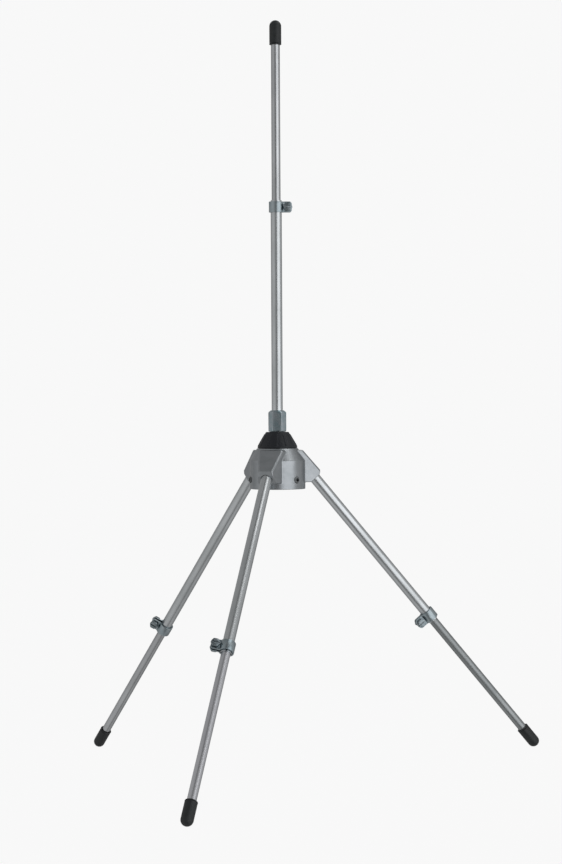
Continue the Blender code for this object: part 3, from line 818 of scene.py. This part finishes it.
def ferrule(finishes):
    """The turned hexagon on the cone: a long nose, chamfered corners and a stepped mouth."""
    low, high, _ = extent("radiator_ferrule")
    corner = FERRULE_HEX / sqrt(3)
    root, _, tube = extent("radiator_outer_tube")
    body = hexagon("hexagon_ferrule", FERRULE_HEX, low, high)
    turn = Matrix.Rotation(FERRULE_TURN, 4, "Z")
    nose = arc((corner - 2.6 * MM, high - 3.4 * MM), 2.9 * MM, 0, radians(62), 7)
    combine(body, turned("chamfers", [
        (0, low - 1 * MM),
        (corner - 0.8 * MM, low - 1 * MM),
        (corner - 0.8 * MM, low),
        (corner + 0.3 * MM, low + 0.65 * MM),
        *nose,
        (tube + 0.9 * MM, high),
        (tube + 0.9 * MM, high + 1 * MM),
        (0, high + 1 * MM),
    ], 96), "INTERSECT")
    combine(body, turned("bores", [
        (0, low - 2 * MM),
        (STUD_HOLE, low - 2 * MM),
        (STUD_HOLE, root - GAP),
        (tube + GAP, root - GAP),
        (tube + GAP, high - 0.5 * MM),
        (tube + 0.9 * MM, high + 0.1 * MM),
        (tube + 0.9 * MM, high + 2 * MM),
        (0, high + 2 * MM),
    ]), "DIFFERENCE")
    rounded(body, 0.18 * MM)
    show(body, "radiator_ferrule", finishes["zinc_ferrule"], turn)


# ---------------------------------------------------------------- telescopic elements

def tubes(element, finishes):
    """The thick tube with its slotted, deburred end, and the thin tube that slides in it."""
    place = element_place(element)
    edge = 0.2 * MM
    low, high, radius = extent(f"{element}_outer_tube", place)
    outer = turned(f"{element}_thick_tube", [
        (TUBE_BORE, low),
        (radius, low),
        (radius, high - edge),
        (radius - edge, high),
        (TUBE_BORE + edge, high),
        (TUBE_BORE, high - edge),
    ], FINE, ring=True)
    for cross in (0, pi / 2):
        slot = box("slot", 20 * MM, SLOT_WIDTH, high - SLOT_LENGTH, high + 2 * MM)
        slot.matrix_world = Matrix.Rotation(cross, 4, "Z")
        combine(outer, slot, "DIFFERENCE")
    show(outer, f"{element}_outer_tube", finishes["outer_tube"], place)

    low, high, radius = extent(f"{element}_inner_tube", place)
    inner = turned(f"{element}_thin_tube", [
        (INNER_BORE + edge, low),
        (radius - edge, low),
        (radius, low + edge),
        (radius, high - edge),
        (radius - edge, high),
        (INNER_BORE + edge, high),
        (INNER_BORE, high - edge),
        (INNER_BORE, low + edge),
    ], FINE, ring=True)
    show(inner, f"{element}_inner_tube", finishes[THIN_TUBE_PAINTED_LIGHT[element]], place)


def cap(element, finishes):
    """A dipped vinyl cap: a soft dome, a straight skirt and a rolled lip."""
    place = element_place(element)
    node = f"{element}_tip_cap"
    low, high, radius = extent(node, place)
    skirt = radius - 0.12 * MM
    dome = arc((0, high - skirt), skirt, 0, pi / 2, 12)
    dome[-1] = (0, high)
    roof = high - CAP_TOP
    lip = arc((radius - 0.55 * MM, low + 0.55 * MM), 0.55 * MM, -pi / 2, pi / 2, 6)
    body = turned(f"{element}_cap", [
        (0, roof),
        (CAP_BORE, roof),
        (CAP_BORE, low + 0.2 * MM),
        (CAP_BORE + 0.2 * MM, low),
        *lip,
        (skirt, low + 1.4 * MM),
        (skirt, low + 5 * MM),
        (skirt, low + 9 * MM),
        *dome,
    ], FINE)
    show(body, node, finishes["black_cap"], place, sharp=radians(55))


def band(element, finishes):
    """The clamp's bent strip: a ring, fillets into two ears, and a hole through both ears."""
    place = element_place(element)
    node = f"{element}_clamp_band"
    low, high, _ = extent(node, place)
    inner = extent(f"{element}_outer_tube", place)[2] + GAP
    outer = inner + BAND_WALL
    near = EAR_GAP / 2
    far = near + BAND_WALL
    mouth = asin(near / inner)
    fillet_x = sqrt((outer + BAND_FILLET) ** 2 - (far + BAND_FILLET) ** 2)
    heel = asin((far + BAND_FILLET) / (outer + BAND_FILLET))
    round_off = arc((fillet_x, far + BAND_FILLET), BAND_FILLET, pi + heel, 3 * pi / 2, 5)
    mirrored = [(x, -y) for x, y in round_off]
    outline = [(EAR_REACH, near)]
    outline += arc((0, 0), inner, mouth, 2 * pi - mouth, 48)
    outline += [(EAR_REACH, -near), (EAR_REACH, -far)]
    outline += mirrored[::-1]
    outline += arc((0, 0), outer, 2 * pi - heel, heel, 48)[1:-1]
    outline += round_off
    outline += [(EAR_REACH, far)]
    body = prism(f"{element}_band", outline, low, high)
    trim_corners(body)
    hole = cylinder("hole", M4_RADIUS + GAP, -10 * MM, 10 * MM, 40)
    hole.matrix_world = place.inverted() @ bolt_place(element)
    combine(body, hole, "DIFFERENCE")
    rounded(body, BAND_EDGE)
    show(body, node, finishes["zinc_band"], place)


def trim_corners(body):
    """Rounds the free corners of a band's ears."""
    def ear_corner(one, other):
        across = abs(one.y - other.y) > BAND_WALL / 2 and one.y * other.y > 0
        return across and min(one.x, other.x) > EAR_REACH - 0.1 * MM

    bevel_chosen(body, ear_corner, EAR_CORNER, 6)


def chamfered_hexagon(name, across_flats, low, high, low_chamfer, high_chamfer):
    """A hexagon with turned chamfers on its corners."""
    corner = across_flats / sqrt(3)
    body = hexagon(name, across_flats, low, high)
    turned_off = 0.45 * MM
    combine(body, turned("chamfers", [
        (0, low),
        (corner - (turned_off * 2 if low_chamfer else 0), low),
        (corner + 0.02 * MM, low + turned_off),
        (corner + 0.02 * MM, high - turned_off),
        (corner - (turned_off * 2 if high_chamfer else 0), high),
        (0, high),
    ], 72), "INTERSECT")
    return body


def clamp_screw(element, finishes):
    """An M4 screw with a slotted hexagon head, a washer face and a rolled thread."""
    place = bolt_place(element)
    node = f"{element}_clamp_screw"
    low, high, _ = extent(node, place)
    seat = high - M4_HEAD
    body = chamfered_hexagon(
        f"{element}_screw", M4_HEX, seat + 0.25 * MM, high, False, True
    )
    face = cylinder("face", M4_HEX / 2 - 0.2 * MM, seat, seat + 0.6 * MM, 48)
    combine(body, face, "UNION")
    slot = box("slot", 12 * MM, 1.0 * MM, high - 1.1 * MM, high + 1 * MM)
    combine(body, slot, "DIFFERENCE")
    rounded(body, 0.12 * MM)
    shank = threaded("shank", M4_RADIUS, M4_PITCH, low, seat + 0.5 * MM, 32)
    combine(body, shank, "UNION")
    show(body, node, finishes["zinc_screw"], place)


def clamp_nut(element, finishes):
    place = bolt_place(element)
    node = f"{element}_clamp_nut"
    low, high, _ = extent(node, place)
    body = chamfered_hexagon(f"{element}_nut", M4_HEX, low, high, True, True)
    bore = turned("bore", [
        (0, low - 1 * MM),
        (M4_RADIUS + 0.7 * MM, low - 1 * MM),
        (M4_RADIUS + 0.7 * MM, low),
        (M4_RADIUS + GAP, low + 0.4 * MM),
        (M4_RADIUS + GAP, high - 0.4 * MM),
        (M4_RADIUS + 0.7 * MM, high),
        (M4_RADIUS + 0.7 * MM, high + 1 * MM),
        (0, high + 1 * MM),
    ], 40)
    combine(body, bore, "DIFFERENCE")
    rounded(body, 0.1 * MM)
    show(body, node, finishes["zinc_screw"], place)


# ---------------------------------------------------------------- coaxial socket

def coaxial_socket(finishes):
    """The threaded barrel with its castellated mouth, its white core and its split contact."""
    low, high, _ = extent("coax_socket_body")
    flange_low = high - FLANGE_DEPTH
    web = flange_low - SOCKET_WEB
    thread_top = flange_low - 1.2 * MM
    body = threaded("coaxial_barrel", BARREL_RADIUS, BARREL_PITCH, low, thread_top, 72)
    combine(body, turned("flange", [
        (0, flange_low - 1.6 * MM),
        (BARREL_RADIUS - 0.5 * MM, flange_low - 1.6 * MM),
        (BARREL_RADIUS - 0.5 * MM, flange_low),
        (FLANGE_RADIUS - 0.2 * MM, flange_low),
        (FLANGE_RADIUS, flange_low + 0.2 * MM),
        (FLANGE_RADIUS, high - 0.2 * MM),
        (FLANGE_RADIUS - 0.2 * MM, high),
        (0, high),
    ], 80), "UNION")
    combine(body, turned("bore", [
        (0, low - 1 * MM),
        (BARREL_BORE + 0.5 * MM, low - 1 * MM),
        (BARREL_BORE + 0.5 * MM, low),
        (BARREL_BORE, low + 0.5 * MM),
        (BARREL_BORE, web),
        (3.3 * MM, web),
        (3.3 * MM, high + 1 * MM),
        (0, high + 1 * MM),
    ], 72), "DIFFERENCE")
    for quarter in range(2):
        notch = box("notch", 20 * MM, 1.6 * MM, low - 1 * MM, low + 1.0 * MM)
        notch.matrix_world = Matrix.Rotation(radians(45 + 90 * quarter), 4, "Z")
        combine(body, notch, "DIFFERENCE")
    for number in FLANGE_SCREWS:
        hole = cylinder("hole", FLANGE_SCREW_RADIUS + GAP, 20 * MM, 50 * MM, 24)
        hole.matrix_world = flange_screw_place(number)
        combine(body, hole, "DIFFERENCE")
    show(body, "coax_socket_body", finishes["nickel_brass"])

    contact_low, contact_top, jaw = extent("coax_centre_contact")
    shoulder = web - 2.5 * MM
    contact = turned("split_contact", [
        (0, shoulder - 3 * MM),
        (2.0 * MM, shoulder - 3 * MM),
        (2.0 * MM, contact_low + 0.4 * MM),
        (2.4 * MM, contact_low),
        (jaw - 0.25 * MM, contact_low),
        (jaw, contact_low + 0.25 * MM),
        (jaw, shoulder),
        (1.1 * MM, shoulder),
        (1.1 * MM, contact_top),
        (0, contact_top),
    ], 48)
    for cross in (0, pi / 2):
        slit = box("slit", 10 * MM, 0.45 * MM, contact_low - 1 * MM, contact_low + 7 * MM)
        slit.matrix_world = Matrix.Rotation(cross + radians(20), 4, "Z")
        combine(contact, slit, "DIFFERENCE")
    show(contact, "coax_centre_contact", finishes["nickel_brass"])

    core_low, core_high, core = extent("coax_dielectric")
    mouth = jaw + GAP
    insulator_core = turned("coaxial_core", [
        (mouth, core_low + 0.3 * MM),
        (mouth + 0.3 * MM, core_low),
        (core - 0.3 * MM, core_low),
        (core, core_low + 0.3 * MM),
        (core, web - GAP),
        (3.0 * MM, web - GAP),
        (3.0 * MM, core_high),
        (1.4 * MM, core_high),
        (1.4 * MM, shoulder + GAP),
        (mouth, shoulder + GAP),
    ], 64, ring=True)
    show(insulator_core, "coax_dielectric", finishes["white_dielectric"])


def flange_screws(finishes):
    """Slotted cheese-head screws seen from below in the mast socket."""
    for number in FLANGE_SCREWS:
        node = f"flange_screw_{number}"
        place = flange_screw_place(number)
        low, high, head = extent(node, place)
        seat = low + FLANGE_SCREW_HEAD
        body = turned(f"flange_bolt_{number}", [
            (0, low),
            (head - 0.35 * MM, low),
            (head - 0.1 * MM, low + 0.1 * MM),
            (head, low + 0.35 * MM),
            (head, seat),
            (0, seat),
        ], 40)
        slot = box("slot", 8 * MM, 0.7 * MM, low - 1 * MM, low + 1 * MM)
        slot.matrix_world = Matrix.Rotation(radians(35 * number), 4, "Z")
        combine(body, slot, "DIFFERENCE")
        shank = threaded("shank", FLANGE_SCREW_RADIUS, 0.5 * MM, seat - 0.5 * MM, high, 24)
        combine(body, shank, "UNION")
        show(body, node, finishes["zinc_screw"], place)


def hidden_pieces(finishes):
    """CAD nodes whose shape is right keep it and get a full finish."""
    chosen = {
        "hub_seal_ring": "black_seal",
        "ferrule_seal_ring": "black_seal",
        "feed_stud": "nickel_brass",
        "stud_washer": "zinc_screw",
        "front_radial_root_plug": "zinc_screw",
        "left_radial_root_plug": "zinc_screw",
        "right_radial_root_plug": "zinc_screw",
    }
    for node, name in chosen.items():
        item = frame["nodes"][node]
        item.data.materials.clear()
        item.data.materials.append(finishes[name])


# ---------------------------------------------------------------- stage

def camera():
    """The catalogue view: from the front right, a little above the hub, with a long lens."""
    data = bpy.data.cameras.new("camera")
    data.sensor_width = 36
    data.lens = VIEW_LENS
    data.clip_end = 100
    item = bpy.data.objects.new("camera", data)
    bpy.context.scene.collection.objects.link(item)
    position = Vector((
        VIEW_DISTANCE * sin(VIEW_AZIMUTH),
        -VIEW_DISTANCE * cos(VIEW_AZIMUTH),
        VIEW_HEIGHT,
    ))
    aim = Matrix.Rotation(VIEW_AZIMUTH - VIEW_PAN, 4, "Z")
    tilt = Matrix.Rotation(VIEW_TILT, 4, "X")
    roll = Matrix.Rotation(VIEW_ROLL, 4, "Z")
    item.matrix_world = Matrix.Translation(position) @ aim @ tilt @ roll
    bpy.context.scene.camera = item


def studio_floor():
    """A pale floor that sweeps up into a wall all round."""
    floor_z = cad_box[0].z - FLOOR_DROP
    flat = FLOOR_RADIUS - FLOOR_BEND
    profile = [(0, floor_z), (flat, floor_z)]
    profile += arc((flat, floor_z + FLOOR_BEND), FLOOR_BEND, -pi / 2, 0, 16)[1:]
    profile += [(FLOOR_RADIUS, FLOOR_WALL_TOP)]
    floor = turned("studio_floor", profile, 96)
    floor.data.shade_smooth()
    material = bpy.data.materials.new("pale_floor")
    material.use_nodes = True
    shader = material.node_tree.nodes["Principled BSDF"]
    shader.inputs["Base Color"].default_value = (0.01, 0.01, 0.01, 1)
    shader.inputs["Roughness"].default_value = 1.0
    shader.inputs["Specular IOR Level"].default_value = 0.0
    shader.inputs["Emission Color"].default_value = (1, 1, 1, 1)
    shader.inputs["Emission Strength"].default_value = FLOOR_GLOW
    floor.data.materials.append(material)
    floor.visible_diffuse = False
    floor.visible_glossy = False


def panel(name, azimuth, elevation, width, height, power, colour=(1, 1, 1)):
    """A soft box that faces the middle of the antenna."""
    data = bpy.data.lights.new(name, "AREA")
    data.shape = "RECTANGLE"
    data.size = width
    data.size_y = height
    data.energy = power
    data.color = colour
    item = bpy.data.objects.new(name, data)
    bpy.context.scene.collection.objects.link(item)
    away = Vector((
        sin(azimuth) * cos(elevation),
        -cos(azimuth) * cos(elevation),
        sin(elevation),
    ))
    item.location = LIGHT_AIM + away * LIGHT_DISTANCE
    item.rotation_euler = away.to_track_quat("Z", "Y").to_euler()


def grey_room():
    """Walls that differ all round: dark behind the camera, lighter to its right, a dim ceiling."""
    world = bpy.data.worlds.new("grey_room")
    world.use_nodes = True
    nodes, links = world.node_tree.nodes, world.node_tree.links
    direction = nodes.new("ShaderNodeTexCoord").outputs["Generated"]
    facing = nodes.new("ShaderNodeVectorRotate")
    facing.rotation_type = "Z_AXIS"
    facing.inputs["Angle"].default_value = pi / 2 - VIEW_AZIMUTH
    links.new(direction, facing.inputs["Vector"])
    parts = nodes.new("ShaderNodeSeparateXYZ")
    links.new(facing.outputs["Vector"], parts.inputs["Vector"])
    angle = nodes.new("ShaderNodeMath")
    angle.operation = "ARCTAN2"
    links.new(parts.outputs["Y"], angle.inputs[0])
    links.new(parts.outputs["X"], angle.inputs[1])
    share = nodes.new("ShaderNodeMapRange")
    share.inputs["From Min"].default_value = -pi
    share.inputs["From Max"].default_value = pi
    links.new(angle.outputs["Value"], share.inputs["Value"])
    walls = nodes.new("ShaderNodeValToRGB")
    walls.color_ramp.interpolation = "EASE"
    stops = walls.color_ramp.elements
    stops[0].position = 0.0
    stops[1].position = 1.0
    for degrees in WALL_GREYS:
        if abs(degrees) < 180:
            stops.new(0.5 + degrees / 360)
    for stop, grey in zip(stops, WALL_GREYS.values()):
        stop.color = (grey, grey, grey, 1)
    links.new(share.outputs["Result"], walls.inputs["Fac"])
    ceiling = nodes.new("ShaderNodeMapRange")
    ceiling.inputs["From Min"].default_value = sin(radians(30))
    ceiling.inputs["From Max"].default_value = sin(radians(62))
    ceiling.inputs["To Min"].default_value = 1.0
    ceiling.inputs["To Max"].default_value = CEILING_SHARE
    links.new(parts.outputs["Z"], ceiling.inputs["Value"])
    background = nodes["Background"]
    links.new(walls.outputs["Color"], background.inputs["Color"])
    links.new(ceiling.outputs["Result"], background.inputs["Strength"])
    bpy.context.scene.world = world


def studio_light():
    """Soft boxes to the right of the camera and overhead, in a grey room."""
    panel("key_box", VIEW_AZIMUTH + radians(44), 0, 2.5, 3.0, 20.5, (0.97, 0.98, 1))
    panel("top_box", VIEW_AZIMUTH + radians(92), radians(60), 1.5, 1.1, 6.0)
    grey_room()
    bpy.context.scene.view_settings.view_transform = "Standard"


# ---------------------------------------------------------------- the whole

camera()
studio_light()
studio_floor()
looks = make_finishes()
hub(looks)
mast_screws(looks)
insulator(looks)
ferrule(looks)
coaxial_socket(looks)
flange_screws(looks)
for element in ELEMENTS:
    tubes(element, looks)
    cap(element, looks)
    band(element, looks)
    clamp_screw(element, looks)
    clamp_nut(element, looks)
hidden_pieces(looks)
